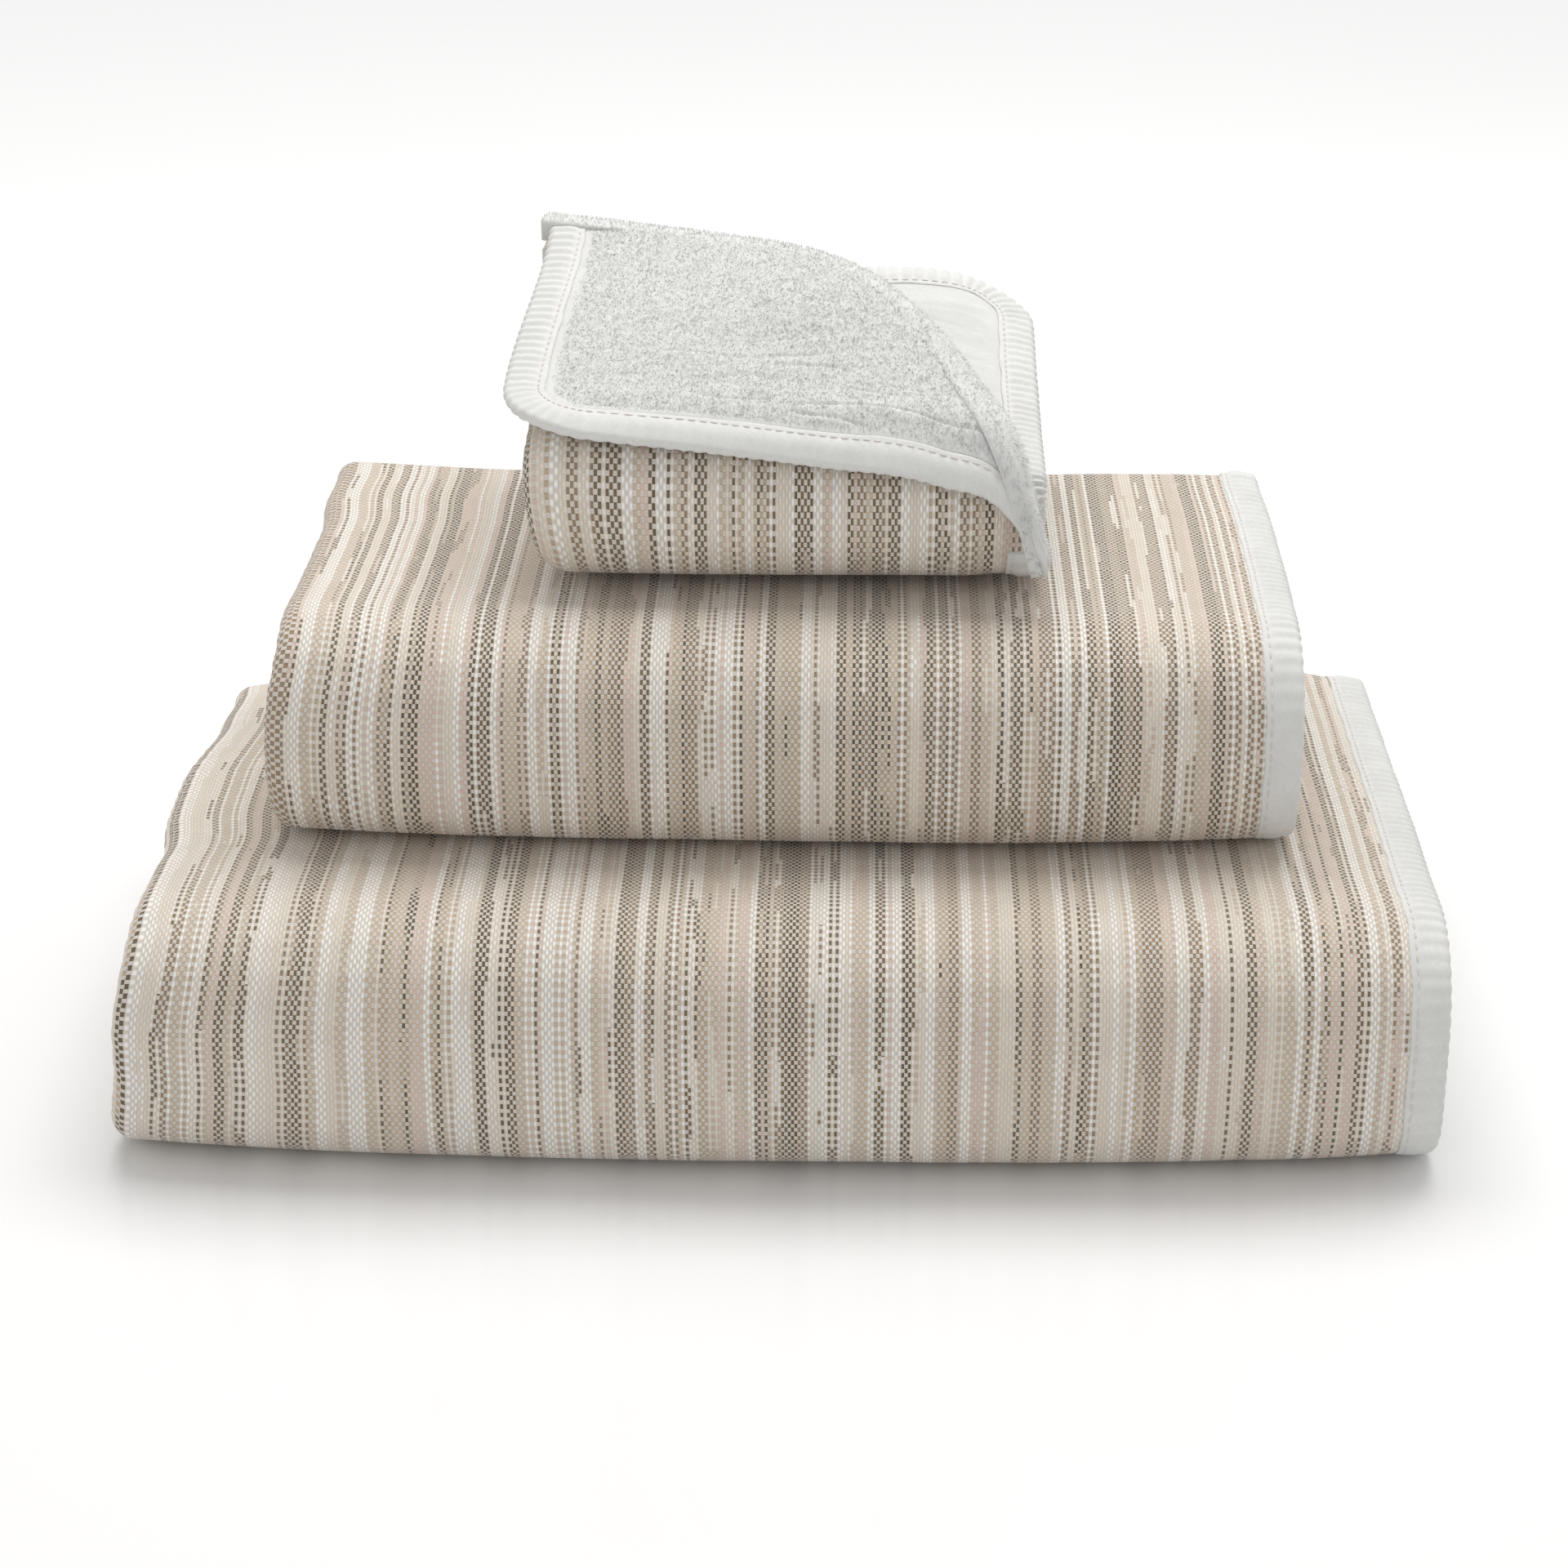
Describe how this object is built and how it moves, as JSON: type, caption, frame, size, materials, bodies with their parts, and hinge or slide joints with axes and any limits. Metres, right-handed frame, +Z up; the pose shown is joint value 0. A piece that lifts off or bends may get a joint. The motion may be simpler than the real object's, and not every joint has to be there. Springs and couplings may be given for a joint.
{
  "type": "bath towel set",
  "caption": "Folded bath towel, hand towel and washcloth in a stack, striped flat weave outside, white terry inside, bound edges, one corner turned back.",
  "frame": {"origin": "centre of the stack's bounding box, on the surface that the bath towel lies on", "axes": "+X towards the bound edges at the right, -Y towards the front folds, +Z up"},
  "size_m": [0.356, 0.2328, 0.2072],
  "materials": {
    "striped_cloth": "matte plain weave with fine warp stripes in white, ivory, beige, tan and brown",
    "terry_pile": "matte white cotton loop pile",
    "edge_tape": "smooth white cotton tape, gathered into small ribs",
    "stitching": "matte cotton sewing thread"
  },
  "bodies": {
    "bath_towel": {"bath_face": "striped_cloth", "bath_terry": "terry_pile", "bath_tape": "edge_tape", "bath_thread": "stitching"},
    "hand_towel": {"hand_face": "striped_cloth", "hand_terry": "terry_pile", "hand_tape": "edge_tape", "hand_thread": "stitching"},
    "washcloth": {"washcloth_face": "striped_cloth", "washcloth_terry": "terry_pile", "washcloth_tape": "edge_tape", "washcloth_thread": "stitching"},
    "washcloth_corner": {"corner_face": "striped_cloth", "corner_terry": "terry_pile", "corner_tape": "edge_tape", "corner_thread": "stitching"}
  },
  "joints": [
    {"name": "hand_towel_lift", "type": "slide", "parent": "bath_towel", "child": "hand_towel", "axis": [0, 0, 1], "range_m": [0, 0.15]},
    {"name": "washcloth_lift", "type": "slide", "parent": "hand_towel", "child": "washcloth", "axis": [0, 0, 1], "range_m": [0, 0.15]},
    {"name": "corner_turn", "type": "hinge", "parent": "washcloth", "child": "washcloth_corner", "pos_m": [0.017, 0.0605, 0.19655], "axis": [-0.7071, 0.7071, 0], "range_deg": [0, 170]}
  ]
}
